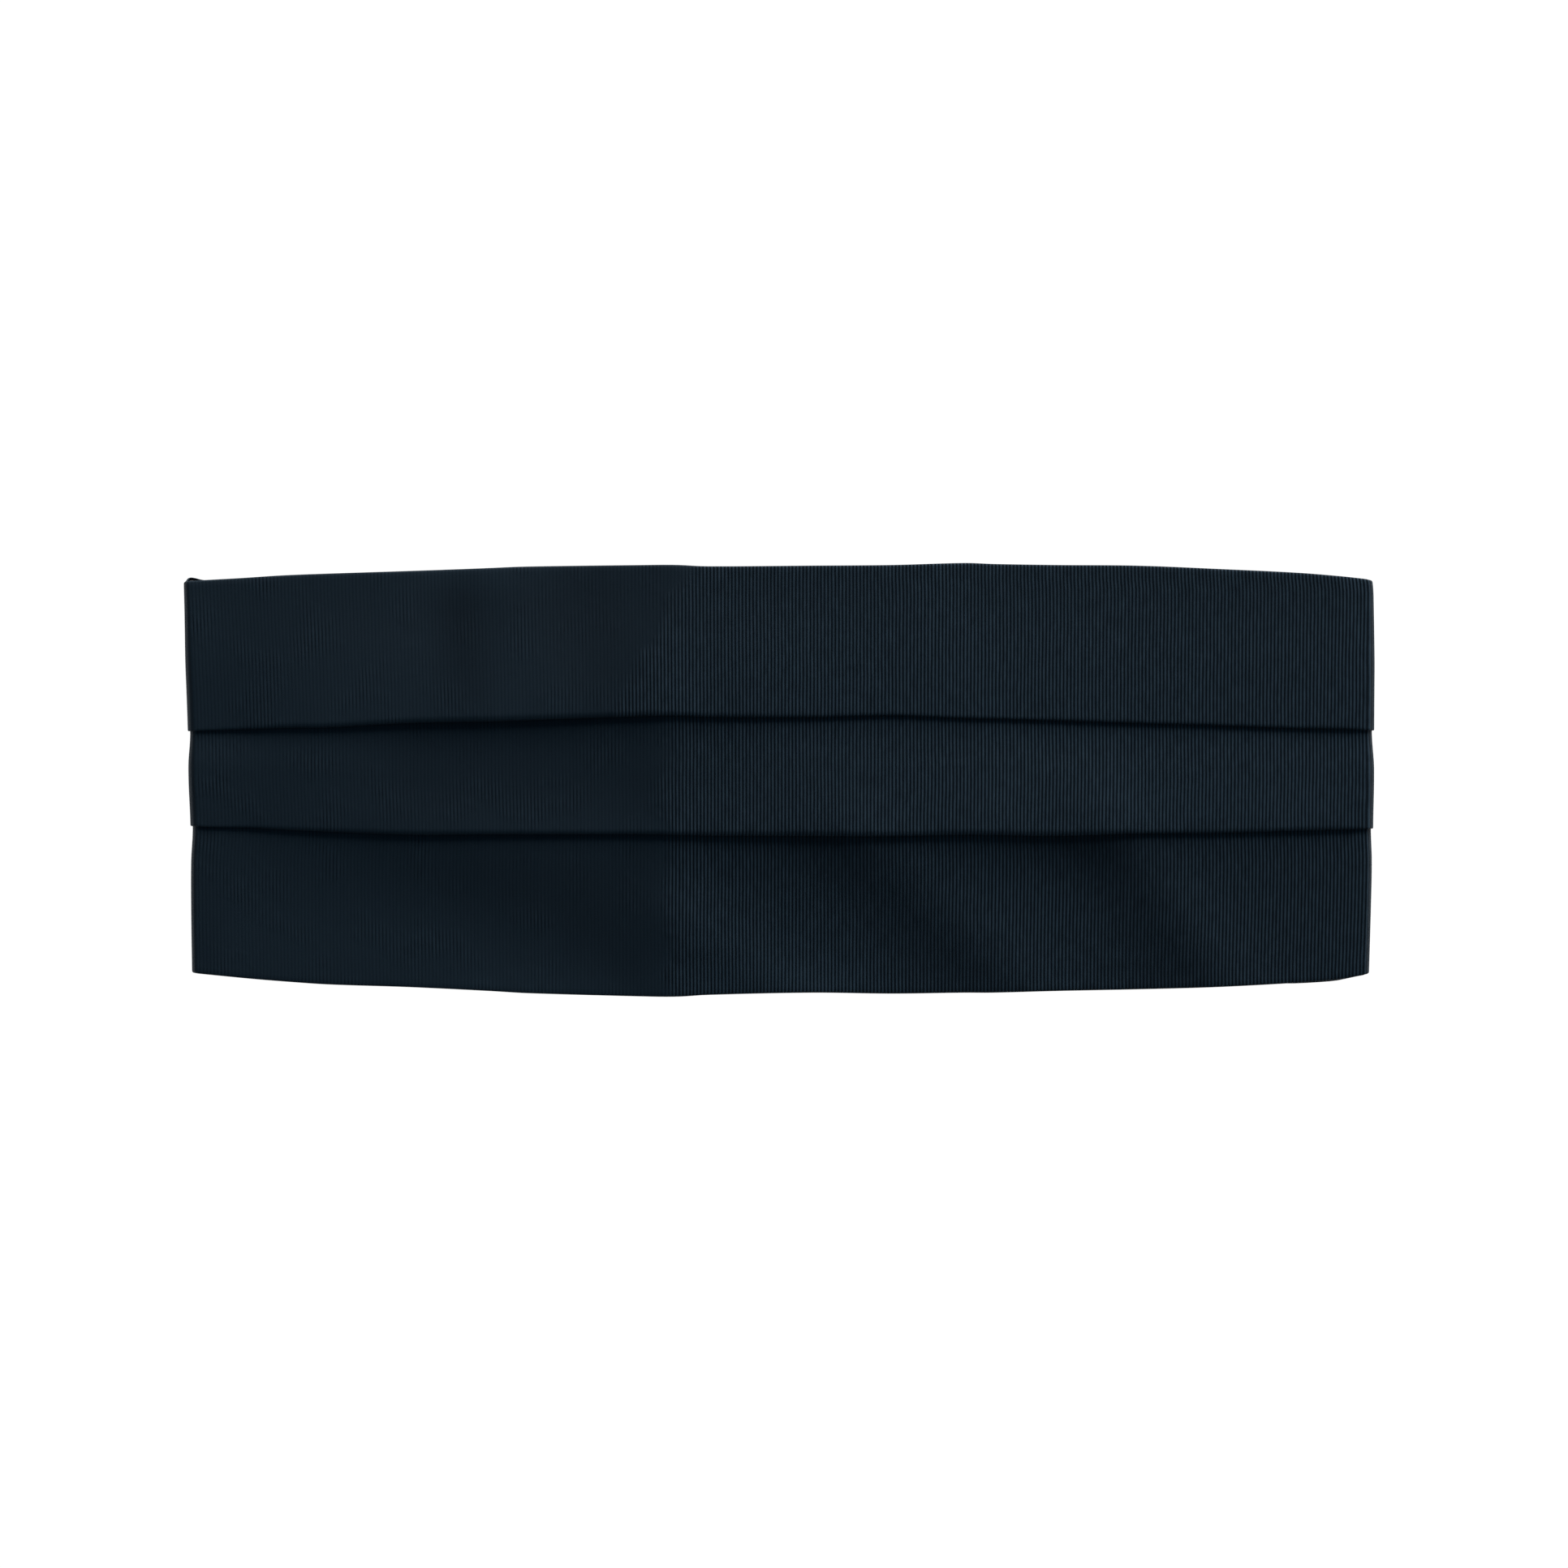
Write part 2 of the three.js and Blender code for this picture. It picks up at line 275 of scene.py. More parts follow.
def soft_lines(rows, along, up):
    """The sum of soft ridges at a place. Each fades across its line, and more slowly past its ends."""
    here = Vector((along, up))
    total = 0
    for start, end, width, height in rows:
        start, line = Vector(start), Vector(end) - Vector(start)
        travel = (here - start).dot(line) / line.length
        across = (here - start - line.normalized() * travel).length
        past = max(-travel, travel - line.length, 0) / 2
        total += height * math.exp(-(across ** 2 + past ** 2) / width ** 2)
    return total


def pleat_puff(along, up):
    """The stack of layers rises evenly from the top to each pleat's edge and falls faster below it."""
    top, first, second, _ = smooth_between(EDGE_ROWS, along)
    first_puff, second_puff = smooth_between(LIFT_ROWS, along)[2:]
    rise = 0
    for edge, puff in ((first, first_puff), (second, second_puff)):
        if up > edge:
            rise += puff * (top - up) / (top - edge)
        else:
            rise += puff * max(0, 1 - (edge - up) / PUFF_BELOW) ** 2
    return rise


def near_middle(along, fade=SIDE_FADE):
    """1 over most of the front, fading to 0 at its two sides."""
    return smooth_step((SIDE_X - abs(along)) / fade)


def front_relief(along, up):
    """How far the front rises at a place, in millimetres. It dies away towards the sides."""
    rise = sum(height * math.exp(-(((along - at) / spread) ** 2)) for at, spread, height in SWELL_ROWS)
    rise += pleat_puff(along, up) + soft_lines(FOLD_ROWS, along, up)
    rise += RIPPLE * noise.noise((along / RIPPLE_SIZE, up / RIPPLE_SIZE, 0))
    return rise * near_middle(along)


print("relief at the middle, in mm:", round(front_relief(0, 0), 2))

# %% [markdown]
# ## Round the sides
#
# At each side the cloth turns over in a pressed fold: straight on, a small corner, a wide bulge, and the
# same back. A half circle would be simpler, but it leaves a dark, sloping stripe that the photo doesn't
# have. Each layer turns about the same centres as the layer below it, only further out, so the layers never
# cross.

# %% Side fold and loop
def side_fold(beyond, out):
    """A place on the fold, from the side's middle height, by how far the cloth has gone past the front."""
    if beyond > SIDE_ARC / 2:
        x, z = side_fold(SIDE_ARC - beyond, out)
        return x, -z
    if beyond <= FLAT:
        return beyond, SIDE_RADIUS + out
    if beyond <= FLAT + CORNER_ARC:
        angle = (beyond - FLAT) / (CORNER + BASE)
        x = FLAT + (CORNER + out) * math.sin(angle)
        return x, SIDE_RADIUS - CORNER + (CORNER + out) * math.cos(angle)
    angle = TURNED + (beyond - FLAT - CORNER_ARC) / (BULGE + BASE)
    return SIDE_RADIUS - BULGE + (BULGE + out) * math.sin(angle), (BULGE + out) * math.cos(angle)


def loop_point(along, up, out):
    """A point of the loop in metres, from millimetres along the waist, up, and out from the lining."""
    side = 1 if along > 0 else -1
    reach = smooth_between(SIDE_ROWS, up)[1 if side > 0 else 0]
    side_x = reach - SIDE_REACH + SIDE_X
    beyond = abs(along) - SIDE_X
    if beyond <= 0:
        x, z = abs(along) / SIDE_X * side_x, FRONT_Z + out + front_relief(along, up)
    elif beyond <= SIDE_ARC:
        x, z = side_fold(beyond, out)
        x, z = side_x + x, BACK_Z + SIDE_RADIUS + z
    else:
        x, z = side_x - (beyond - SIDE_ARC), BACK_Z - out
    return Vector((side * x, up, z)) * MM


print("outside of the right side, in mm:", round(loop_point(SIDE_X + SIDE_ARC / 2, 0, BASE).x / MM, 1))

# %% [markdown]
# ## The section of the pleated cloth
#
# Cut across, the cloth is one line. From the top hem it falls to the first pleat's edge, turns up behind
# itself, turns down again and comes out as the middle band, and so once more to the bottom band. The folded
# edges lift off the cloth below by about a millimetre, which gives the photo its soft dark lines. Three
# separate strips would look alike from the front, but one cloth also has true folds where it is seen from
# the side.

# %% Edges along the loop
# How much cloth is folded under each pleat, on the front and at a wing's mouth
UNDERLAP = 18
MOUTH_UNDERLAP = 8

# The four edges at a wing's mouth, the share of a wing that keeps its full height, and how far a wing's
# folded edges lift
strap_half = strap_high.y / MM
MOUTH_MARGIN = 3.5
MOUTH_EDGES = (strap_half + MOUTH_MARGIN, 8.0, -7.0, -strap_half - MOUTH_MARGIN)
TAPER_START = 0.2
WING_LIFT = 0.25

# Where the wing shows past the front's edge: distance beyond the front's end, left top, right bottom
PEEK_ROWS = [
    (0, 0, 0),
    (10, 0, 0.1),
    (12.5, 1, 0.2),
    (14.5, 1.1, 0.2),
    (18, 0.1, 0.3),
    (23, -0.3, 0.5),
    (48, -0.3, 0),
]


def edges_at(along):
    """The four edges, the two lifts and the underlap at a place along the loop."""
    beyond = abs(along) - SIDE_X
    side = math.copysign(1, along)
    if beyond <= 0:
        return [*smooth_between(EDGE_ROWS, along), *smooth_between(LIFT_ROWS, along)[:2], UNDERLAP]
    inward = max(beyond - SIDE_ARC, 0)
    x = SIDE_X + side_fold(min(beyond, SIDE_ARC), BASE)[0] - inward
    edges = smooth_between(EDGE_ROWS, side * x)
    lifts = smooth_between(LIFT_ROWS, side * (SIDE_X + beyond))
    left_top, right_bottom = smooth_between(PEEK_ROWS, beyond)
    if side < 0:
        edges[0] += left_top
    else:
        edges[3] -= right_bottom
    narrowing = smooth_step((inward / WING - TAPER_START) / (1 - TAPER_START))
    edges = [mix(edge, mouth, narrowing) for edge, mouth in zip(edges, MOUTH_EDGES)]
    wing_lift = WING_LIFT * math.sin(math.pi * min(inward / WING, 1))
    return [*edges, lifts[0] + wing_lift, lifts[1] + wing_lift, mix(UNDERLAP, MOUTH_UNDERLAP, narrowing)]


print("edges at a wing's mouth, in mm:", [round(edge, 1) for edge in edges_at(LOOP_HALF)[:4]])

# %% Section of the cloth
# The hem's radius, and how far out from the lining its turned edge ends
HEM = 0.5
HEM_END = 0.15

# A folded edge: how much its roll grows with its lift, how deep and how far back it droops
ROLL = 0.2
DROOP = 0.27
DROOP_LENGTH = 1.2

# The shares of a band over which it slopes up to its edge, and of an underlap over which it rises
SLOPE_SHARE = 0.85
UNDER_SHARE = 0.9

# Rows of cloth in each band, and how near to an edge they lie closer together
BAND_ROWS = (16, 12, 18)
EDGE_ZONE = 5


def arc(up, out, radius, start, stop, steps):
    angles = [math.radians(mix(start, stop, i / steps)) for i in range(steps + 1)]
    return [(up + radius * math.cos(angle), out + radius * math.sin(angle)) for angle in angles]


def run(start, stop, steps, level):
    """Cloth that goes straight from start to stop, at the distance out that level gives."""
    heights = [mix(start, stop, (i + 0.5) / steps) for i in range(steps)]
    return [(up, level(up)) for up in heights]


def base_level(up):
    return BASE


def pleat(top, edge, lift, underlap, steps):
    """A band from its top down to its folded edge, and up and over again behind itself."""
    radius = LAYER / 2 + ROLL * lift
    fold = edge + radius + WALL / 2
    turn = edge + underlap - LAYER / 2 - WALL / 2

    def outer(up):
        droop = DROOP * lift * max(0, 1 - (up - fold) / (DROOP_LENGTH * lift)) ** 2
        sloped = lift * (1 - smooth_step((up - edge) / (SLOPE_SHARE * (top - edge))))
        return BASE + 2 * LAYER * smooth_step((top - up) / (top - edge - underlap)) + sloped - droop

    gap = outer(fold) - 2 * radius - BASE - LAYER

    def under(up):
        return BASE + LAYER + gap * (1 - smooth_step((up - edge) / (UNDER_SHARE * underlap)))

    return [
        *run(top, edge + EDGE_ZONE, steps, outer),
        *run(edge + EDGE_ZONE, fold, 8, outer),
        *arc(fold, outer(fold) - radius, radius, 90, 270, 6),
        *run(fold, turn, 7, under),
        *arc(turn, BASE + LAYER / 2, LAYER / 2, 90, -90, 4),
        *run(turn, edge, 6, base_level),
    ]


def section_at(along):
    """The cloth from its top hem to its bottom hem, as (up, out) places."""
    top, first, second, bottom, first_lift, second_lift, underlap = edges_at(along)
    corner = WALL / 2 + HEM
    return [
        (top - WALL / 2, HEM_END),
        *arc(top - corner, BASE - HEM, HEM, 0, 90, 4),
        *pleat(top - corner, first, first_lift, underlap, BAND_ROWS[0]),
        *pleat(first, second, second_lift, underlap, BAND_ROWS[1]),
        *run(second, bottom + corner, BAND_ROWS[2], base_level),
        *arc(bottom + corner, BASE - HEM, HEM, 90, 180, 4),
        (bottom + WALL / 2, HEM_END),
    ]


print("rows of cloth in a section:", len(section_at(0)))

# %% [markdown]
# ## Folding a flat grid
#
# Cloth starts flat. A grid of vertices is laid out like the cut cloth, and each vertex is moved to its
# folded place, while its UV keeps the place that it had on the flat cloth, in metres. Ribs drawn on the UV
# then follow every fold. A simulation could fold the grid too, but pleats that are pressed and sewn keep
# their exact lines, so the places are worked out instead. A Solidify modifier gives the sheet its wall.

# %% Fold a grid
def new_piece(name, mesh):
    """An object made from a bmesh, with smooth faces."""
    for face in mesh.faces:
        face.smooth = True
    data = bpy.data.meshes.new(name)
    mesh.to_mesh(data)
    mesh.free()
    piece = bpy.data.objects.new(name, data)
    bpy.context.collection.objects.link(piece)
    return piece


def folded_grid(name, points, flat, painted_shade_values=None):
    """A sheet from a grid: points[i][j] is where a vertex goes, flat[i][j] its place on the flat cloth."""
    columns, rows = len(points), len(points[0])
    mesh = bmesh.new()
    to_unit = Matrix.Translation((0.5, 0.5, 0))
    bmesh.ops.create_grid(mesh, x_segments=columns - 1, y_segments=rows - 1, size=0.5, matrix=to_unit)
    spot = {}
    for vert in mesh.verts:
        i = round(vert.co.x * (columns - 1))
        j = rows - 1 - round(vert.co.y * (rows - 1))
        spot[vert.index] = (i, j)
        vert.co = points[i][j]
    # Painted shade and light for the material, kept on the vertices
    if painted_shade_values:
        painted_shade = mesh.verts.layers.float.new("painted_shade")
        for vert in mesh.verts:
            i, j = spot[vert.index]
            vert[painted_shade] = painted_shade_values[i][j]
    uv = mesh.loops.layers.uv.new("cloth")
    for face in mesh.faces:
        for loop in face.loops:
            i, j = spot[loop.vert.index]
            loop[uv].uv = flat[i][j]
    area = sum(face.calc_area() for face in mesh.faces)
    print(name, "columns", columns, "rows", rows, "area in cm2:", round(area * 1e4))
    return new_piece(name, mesh), area


def give_wall(piece, wall):
    solid = piece.modifiers.new("wall", "SOLIDIFY")
    solid.thickness = wall * MM
    solid.offset = 0
    solid.use_quality_normals = True


def downward_distances(section):
    """How far each place of a section is from its start, along the cloth."""
    distances = [0]
    for here, there in zip(section, section[1:]):
        distances.append(distances[-1] + math.dist(here, there))
    return distances


print("distances along a bent line:", downward_distances([(0, 0), (3, 4), (3, 10)]))

# %% [markdown]
# The columns of the grid lie at even distances along the front and the wings. Round the sides, where the
# cloth turns sharply, they lie closer together. Even columns that fine would need far more vertices.

# %% Columns of the cloth
# Distance between columns in millimetres, and the steps round a side fold's corner
COLUMN = 2.2
CORNER_STEPS = 5


def loop_columns():
    """Places along the loop, closer together round the sides."""
    front = round(2 * SIDE_X / COLUMN)
    wing = round(WING / COLUMN)
    places = [mix(-SIDE_X, SIDE_X, i / front) for i in range(front + 1)]
    corner = [FLAT + CORNER_ARC * i / CORNER_STEPS for i in range(CORNER_STEPS + 1)]
    half_turn = [0.35 * FLAT, 0.7 * FLAT, *corner, FLAT + CORNER_ARC + BULGE_ARC / 2, SIDE_ARC / 2]
    turns = [SIDE_X + place for place in half_turn]
    turns += [SIDE_X + SIDE_ARC - place for place in reversed(half_turn[:-1])]
    wings = [SIDE_X + SIDE_ARC + WING * i / wing for i in range(wing + 1)]
    behind = turns + wings
    return [-place for place in reversed(behind)] + places + behind


columns = loop_columns()
print("columns of cloth:", len(columns))

# %% [markdown]
# Some patches of the front are painted a little darker or lighter. There is painted shade below the pleats'
# edges and along the soft folds, painted shade along the top hem, and a few patches of painted light. Noise
# in the material would put such patches anywhere, so each one is a soft stroke in a table, within one band
# of the cloth. The strokes' sum is kept on the vertices, so the painted shade follows the folds, and the
# material reads it later.

# %% Painted shade and light
# From and to (along, up), half width, how much lighter: painted light above 0, painted shade below 0
TOP_PAINTED_SHADE = [
    ((-140, 52), (-50, 52), 15, -0.08),
    ((-98, 54), (-97, 38), 9, -0.2),
    ((-100, 64), (-90, 64), 6, 0.16),
    ((-74, 54), (-62, 28), 9, -0.1),
    ((-56, 56), (-50, 34), 11, -0.16),
    ((-28, 50), (-18, 30), 10, -0.1),
    ((0, 60), (180, 60), 17, -0.15),
    ((50, 66), (56, 28), 9, 0.12),
]
MIDDLE_PAINTED_SHADE = [
    ((-110, 12), (-56, 13), 9, -0.14),
    ((-105, -3), (-45, -4), 10, -0.12),
    ((-26, 6), (24, 2), 13, -0.1),
    ((52, -6), (66, -10), 9, 0.09),
    ((124, -6), (176, -8), 9, 0.15),
]
BOTTOM_PAINTED_SHADE = [
    ((-92, -28), (-46, -30), 12, -0.11),
    ((-78, -40), (-46, -44), 13, -0.09),
    ((-56, -48), (-44, -62), 9, -0.1),
    ((-165, -50), (-103, -58), 16, 0.11),
    ((15, -20), (54, -60), 13, -0.25),
    ((80, -18), (112, -20), 9, -0.16),
    ((98, -24), (117, -56), 13, -0.25),
    ((-24, -34), (-20, -60), 9, 0.1),
    ((-12, -61), (14, -60), 7, 0.18),
    ((-90, -64), (60, -64), 6, 0.1),
    ((64, -28), (84, -38), 9, 0.09),
]

# How far from a side the painted shade starts to fade
PAINTED_SHADE_FADE = 8


def painted_shade_at(along, up):
    """How much painted light or shade the cloth has at a place, by the band that it is in."""
    _, first, second, _ = smooth_between(EDGE_ROWS, along)
    rows = TOP_PAINTED_SHADE if up > first else MIDDLE_PAINTED_SHADE if up > second else BOTTOM_PAINTED_SHADE
    return soft_lines(rows, along, up) * near_middle(along, PAINTED_SHADE_FADE)


print("tone in a dark streak:", round(painted_shade_at(36, -42), 2))

# %% [markdown]
# ## The pleated cloth
#
# The columns and the section make the grid, and the loop gives each vertex its place. The front and the
# wings could be separate pieces, but this sheet is one piece from wing to wing, as the real one is cut, so
# no seam has to be hidden at the sides.

# %% Pleated cloth
sections = [section_at(along) for along in columns]
depths = downward_distances(section_at(0))
cloth_points = [[loop_point(along, up, out) for up, out in section]
                for along, section in zip(columns, sections)]
cloth_flat = [[(along * MM, -depth * MM) for depth in depths] for along in columns]
cloth_painted_shade = [[painted_shade_at(along, up) for up, out in section]
               for along, section in zip(columns, sections)]
cloth, cloth_area = folded_grid("pleated_cloth", cloth_points, cloth_flat, cloth_painted_shade)
give_wall(cloth, WALL)
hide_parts("pleated_front")
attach(cloth, "root")

# %% [markdown]
# ## The lining
#
# A smooth lining closes the cummerbund's inside. Its edges are sewn just inside the hems, and at each
# wing's mouth it moves inward by the thickness of the strap that is sewn in there. The thread pulls its
# edges into fine puckers. A bump could draw those, but they are modelled, because a bump vanishes when the
# lining is seen edge on.

# %% Lining
LINING_WALL = 0.25
LINING_MARGIN = 0.9
LINING_ROWS = 40

# At a wing's mouth: how far inward the lining moves, and over what length
JOG = 0.95
JOG_LENGTH = 8

# Puckers: their depth, size along and across the seam, how far in they reach, and their noise's layer
PUCKER = 0.12
PUCKER_SIZE = 7
PUCKER_LENGTH = 20
SEAM_REACH = 12
PUCKER_LAYER = 5


def lining_column(along):
    top, _, _, bottom = edges_at(along)[:4]
    from_mouth = LOOP_HALF - abs(along)
    jog = JOG * smooth_step((STRAP_OVERLAP + 1 + JOG_LENGTH - from_mouth) / JOG_LENGTH)
    places = []
    for i in range(LINING_ROWS + 1):
        up = mix(top - LINING_MARGIN, bottom + LINING_MARGIN, i / LINING_ROWS)
        edge_share = max(0, 1 - min(top - up, up - bottom) / SEAM_REACH)
        place = (along / PUCKER_SIZE, up / PUCKER_LENGTH, PUCKER_LAYER)
        pucker = PUCKER * edge_share * noise.noise(place)
        places.append((up, LINING_WALL / 2 - jog - abs(pucker)))
    return places


lining_sections = [lining_column(along) for along in columns]
lining_points = [[loop_point(along, up, out) for up, out in section]
                 for along, section in zip(columns, lining_sections)]
lining_depths = downward_distances(lining_column(0))
lining_flat = [[(along * MM, -depth * MM) for depth in lining_depths] for along in columns]
lining, lining_area = folded_grid("lining_sheet", lining_points, lining_flat)
give_wall(lining, LINING_WALL)
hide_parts("back_panel")
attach(lining, "root")

# %% [markdown]
# ## Straps and slide
#
# Each strap is a flat woven band. It comes out of a wing's mouth, drops to the ground, goes round a bar of
# the slide and lies back on itself, sewn down. A curve with a flat profile could draw it, but from the side
# it is one line, so the same folded grid makes it, with ribs that follow the band.

# %% Line of a strap
# A strap's thickness, the rows of its grid, and the gap that it keeps to the slide and to itself
STRAP_WALL = 1.2
STRAP_ROWS = 16
CLEARANCE = 0.3

# The slide's height and bar, the turn round that bar, the length sewn back, and the height in a mouth
clasp_low, clasp_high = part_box("clasp")
SLIDE_Z = (clasp_low.z + clasp_high.z) / 2 / MM
BAR_X = clasp_high.x / MM
BAR = 3.5
SLOT_EDGE = BAR_X - BAR
WRAP = (clasp_high.z - clasp_low.z) / 2 / MM + CLEARANCE + STRAP_WALL / 2
TAIL = 25
SEWN_Z = BACK_Z - 0.05

# How long a strap takes to drop to the ground, and its sewn end to drop onto the strap
DROP = 15
TAIL_DROP = 7.5


def ramp(start, stop, from_level, to_level, steps):
    return [(mix(start, stop, i / steps), mix(from_level, to_level, smooth_step(i / steps)))
            for i in range(steps + 1)]


def strap_line():
    """A strap from the side: distances from the middle of the back, and heights."""
    low = STRAP_WALL / 2
    tail = 3 * low + CLEARANCE
    sewn = [(mix(MOUTH_X + STRAP_OVERLAP, MOUTH_X, i / 6), SEWN_Z) for i in range(6)]
    flat = [(mix(MOUTH_X - DROP - 1, SLOT_EDGE + 1, i / 20), low) for i in range(1, 20)]
    rest = [(mix(BAR_X + TAIL_DROP + 0.5, SLOT_EDGE + TAIL, i / 8), tail) for i in range(1, 9)]
    return [
        *sewn,
        *ramp(MOUTH_X - CLEARANCE, MOUTH_X - DROP, SEWN_Z, low, 8),
        *flat,
        *arc(SLOT_EDGE, SLIDE_Z, WRAP, 270, 90, 10),
        *ramp(BAR_X + CLEARANCE, BAR_X + TAIL_DROP, SLIDE_Z + WRAP, tail, 6),
        *rest,
    ]


print("length of a strap, in mm:", round(downward_distances(strap_line())[-1], 1))

# %% Straps
# How far a strap's edges are rounded
STRAP_EDGE = 0.3


def add_strap(name, node, side):
    line = strap_line()
    distances = downward_distances(line)
    heights = [mix(strap_half, -strap_half, i / STRAP_ROWS) for i in range(STRAP_ROWS + 1)]
    points = [[Vector((side * x, side * up, z)) * MM for up in heights] for x, z in line]
    flat = [[(distance * MM, up * MM) for up in heights] for distance in distances]
    strap, area = folded_grid(name, points, flat)
    give_wall(strap, STRAP_WALL)
    bevel = strap.modifiers.new("soft edge", "BEVEL")
    bevel.width = STRAP_EDGE * MM
    bevel.segments = 2
    bevel.limit_method = "ANGLE"
    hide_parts(node)
    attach(strap, "root")
    return strap


straps = [add_strap("strap_band_left", "strap_left", -1), add_strap("strap_band_right", "strap_right", 1)]

# %% [markdown]
# The slide is a stamped plate with two slots. It could be cut from a new plate with Boolean tools, but its
# outline is right in the frame already. So a copy of that solid is merged, its flat faces are joined, and
# its sharp edges are rounded as a tumbled stamping's are.

# %% Slide
# How far its edges are rounded, which ones are, and from which angle an edge still looks sharp
SLIDE_ROUNDING = 0.35
SHARP_EDGE = math.radians(60)
SHARP_SHADING = math.radians(35)


def add_slide():
    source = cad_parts["clasp"]
    mesh = bmesh.new()
    mesh.from_mesh(source.data)
    mesh.transform(source.matrix_world)
    bmesh.ops.remove_doubles(mesh, verts=mesh.verts[:], dist=0.001 * MM)
    bmesh.ops.dissolve_limit(mesh, angle_limit=math.radians(1), verts=mesh.verts[:], edges=mesh.edges[:])
    bmesh.ops.recalc_face_normals(mesh, faces=mesh.faces[:])
    rims = [edge for edge in mesh.edges if edge.calc_face_angle(0) > SHARP_EDGE]
    bmesh.ops.bevel(mesh, geom=rims, offset=SLIDE_ROUNDING * MM, offset_type="OFFSET", segments=3,
                    profile=0.5, affect="EDGES", material=-1)
    slide = new_piece("slide_plate", mesh)
    slide.data.set_sharp_from_angle(angle=SHARP_SHADING)
    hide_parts("clasp")
    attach(slide, "root")
    print("slide faces:", len(slide.data.polygons))
    return slide


slide = add_slide()

# %% [markdown]
# Two rows of machine stitches hold each strap in its wing's mouth, and two more hold its end after it has
# gone round the slide's bar. A bump in the material could draw them, but they stand proud of the strap. So
# each stitch is a small bead of thread that lies on the cloth, half sunk into it, with few faces because
# there are many.

# %% Stitches
# Each stitch's length, thickness and slant, and the distance from one to the next
STITCH = 2.3
THREAD = 0.3
STITCH_SLANT = math.radians(6)
STITCH_STEP = 3.0

# How far the rows lie from a wing's mouth, from a strap's sewn end and from its long edges, and how high
# they lie where they show on its underside
MOUTH_SEAMS = (4, STRAP_OVERLAP - 3)
TAIL_SEAMS = (2.5, 7)
SEAM_INSET = 2.5
UNDERSIDE = 0.1


def outer_face(along, up):
    """How far out the outermost layer of cloth lies at a place."""
    section = section_at(along)
    levels = []
    for (up_a, out_a), (up_b, out_b) in zip(section, section[1:]):
        if up_a != up_b and min(up_a, up_b) <= up <= max(up_a, up_b):
            levels.append(mix(out_a, out_b, (up - up_a) / (up_b - up_a)))
    return max(levels) + WALL / 2


def stitch_places():
    """Where each stitch's middle lies, in metres."""
    half = strap_half - SEAM_INSET
    count = round(2 * half / STITCH_STEP)
    heights = [mix(-half, half, i / count) for i in range(count + 1)]
    tail_end = SLOT_EDGE + TAIL
    tail_top = 2 * STRAP_WALL + CLEARANCE
    places = []
    for side in (-1, 1):
        for inset in MOUTH_SEAMS:
            along = side * (LOOP_HALF - inset)
            places += [loop_point(along, up, outer_face(along, up)) for up in heights]
        for inset in TAIL_SEAMS:
            x = side * (tail_end - inset)
            places += [Vector((x, up, tail_top)) * MM for up in heights]
            places += [Vector((x, up, UNDERSIDE)) * MM for up in heights]
    return places


def add_stitches(name):
    mesh = bmesh.new()
    size = Vector((THREAD, STITCH, THREAD)) / 2 * MM
    bead = Matrix.Rotation(STITCH_SLANT, 4, "Z") @ Matrix.Diagonal((*size, 1))
    places = stitch_places()
    for place in places:
        bmesh.ops.create_uvsphere(mesh, u_segments=8, v_segments=8, radius=1,
                                  matrix=Matrix.Translation(place) @ bead)
    piece = new_piece(name, mesh)
    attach(piece, "root")
    print(name, len(places))
    return piece


stitches = add_stitches("strap_stitches")

# %% [markdown]
# ## Materials
#
# A material could show a picture of the real cloth, but a tree of nodes stays sharp from near and can be
# tuned. Colours are written as they look on a screen (sRGB hex), and one function turns them into the
# linear values that the renderer works with. One more function adds a node with its settings and links, and
# another ends the tree of each cloth: a colour between two shades, and a bump.

# %% Helpers for materials
def screen_colour(hex_code):
    """A linear colour from an sRGB hex code."""
    channels = [int(hex_code[i:i + 2], 16) / 255 for i in (1, 3, 5)]
    linear = [c / 12.92 if c <= 0.04045 else ((c + 0.055) / 1.055) ** 2.4 for c in channels]
    return (*linear, 1)


def add_node(tree, kind, settings=None, links=None):
    """Adds a node. Settings go to its sockets by name or number, or else to its own properties."""
    node = tree.nodes.new(kind)
    for name, value in (settings or {}).items():
        if isinstance(name, int) or name in node.inputs:
            node.inputs[name].default_value = value
        else:
            setattr(node, name, value)
    for name, output in (links or {}).items():
        tree.links.new(output, node.inputs[name])
    return node


def new_material(name, settings):
    """A material with one Principled shader, ready for links."""
    material = bpy.data.materials.new(name)
    material.use_nodes = True
    shader = material.node_tree.nodes["Principled BSDF"]
    for socket, value in settings.items():
        shader.inputs[socket].default_value = value
    return material, material.node_tree, shader


def cloth_coordinates(tree):
    """The flat cloth's two coordinates in metres, apart."""
    uv = add_node(tree, "ShaderNodeUVMap", {"uv_map": "cloth"})
    parts = add_node(tree, "ShaderNodeSeparateXYZ", links={"Vector": uv.outputs["UV"]})
    return uv.outputs["UV"], parts.outputs["X"], parts.outputs["Y"]


def colour_and_bump(tree, shader, level, colours, height, depth, strength=1.0):
    """Gives a shader a colour between two, chosen by a level, and a bump that follows a height."""
    shade = add_node(tree, "ShaderNodeValToRGB", links={"Fac": level})
    for element, colour in zip(shade.color_ramp.elements, colours):
        element.color = screen_colour(colour)
    bump = add_node(tree, "ShaderNodeBump", {"Strength": strength, "Distance": depth}, {"Height": height})
    tree.links.new(shade.outputs["Color"], shader.inputs["Base Color"])
    tree.links.new(bump.outputs["Normal"], shader.inputs["Normal"])


print("a dark blue in linear values:", [round(value, 4) for value in screen_colour("#26333d")])

